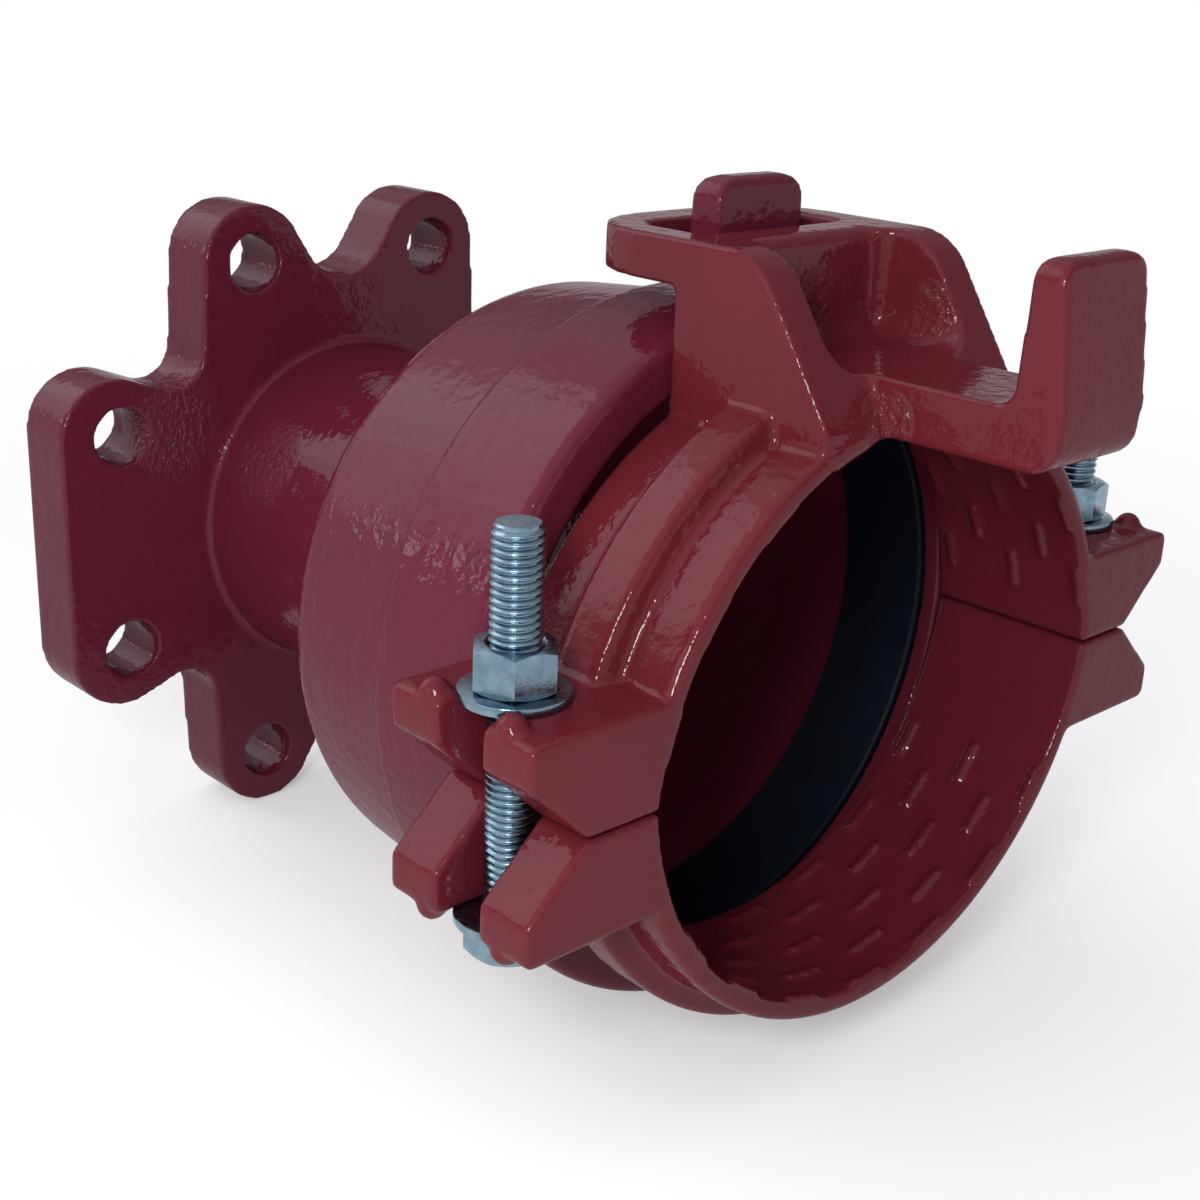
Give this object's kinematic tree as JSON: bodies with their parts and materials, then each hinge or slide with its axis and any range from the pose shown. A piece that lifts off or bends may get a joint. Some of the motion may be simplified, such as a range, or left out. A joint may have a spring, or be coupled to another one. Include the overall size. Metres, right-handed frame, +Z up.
{
  "type": "restrained flange adapter",
  "caption": "Restrained flange adapter: a lobed bolting flange and neck open into a gasketed bell, with a two-piece bolted clamp ring that grips a plain-ended pipe.",
  "frame": {"origin": "centre of the flange's mating face, on the pipe axis", "axes": "+X along the pipe axis from the flange to the bell's mouth, +Z up through the bracket and post, so the near bolt is on the -Y side"},
  "size_m": [0.3202, 0.261, 0.242],
  "materials": {
    "body_paint": "gloss",
    "clamp_paint": "gloss",
    "gasket_rubber": "satin",
    "bolt_zinc": "satin",
    "nut_zinc": "satin",
    "washer_zinc": "satin"
  },
  "bodies": {
    "fitting_body": {"flanged_body": "body_paint", "gasket": "gasket_rubber"},
    "upper_half": {"upper_clamp": "clamp_paint", "near_upper_washer": "washer_zinc", "far_upper_washer": "washer_zinc"},
    "lower_half": {"lower_clamp": "clamp_paint", "near_bolt": "bolt_zinc", "far_bolt": "bolt_zinc", "near_lower_washer": "washer_zinc", "far_lower_washer": "washer_zinc"},
    "near_nut_body": {"near_nut": "nut_zinc"},
    "far_nut_body": {"far_nut": "nut_zinc"}
  },
  "joints": [
    {"name": "upper_half_lift", "type": "slide", "parent": "fitting_body", "child": "upper_half", "axis": [0, 0, 1], "range_m": [0, 0.011]},
    {"name": "lower_half_drop", "type": "slide", "parent": "fitting_body", "child": "lower_half", "axis": [0, 0, -1], "range_m": [0, 0.011]},
    {"name": "near_nut_turn", "type": "hinge", "parent": "upper_half", "child": "near_nut_body", "pos_m": [0.2465, -0.114, 0.0355], "axis": [0, 0, 1], "range_deg": [0, 4060]},
    {"name": "far_nut_turn", "type": "hinge", "parent": "upper_half", "child": "far_nut_body", "pos_m": [0.2465, 0.114, 0.0355], "axis": [0, 0, 1], "range_deg": [0, 4060]}
  ],
  "couplings": [
    {"joint": "lower_half_drop", "follows": "upper_half_lift", "ratio": 1},
    {"joint": "near_nut_turn", "follows": "upper_half_lift", "rad_per_m": 6431.6},
    {"joint": "far_nut_turn", "follows": "upper_half_lift", "rad_per_m": 6431.6}
  ]
}
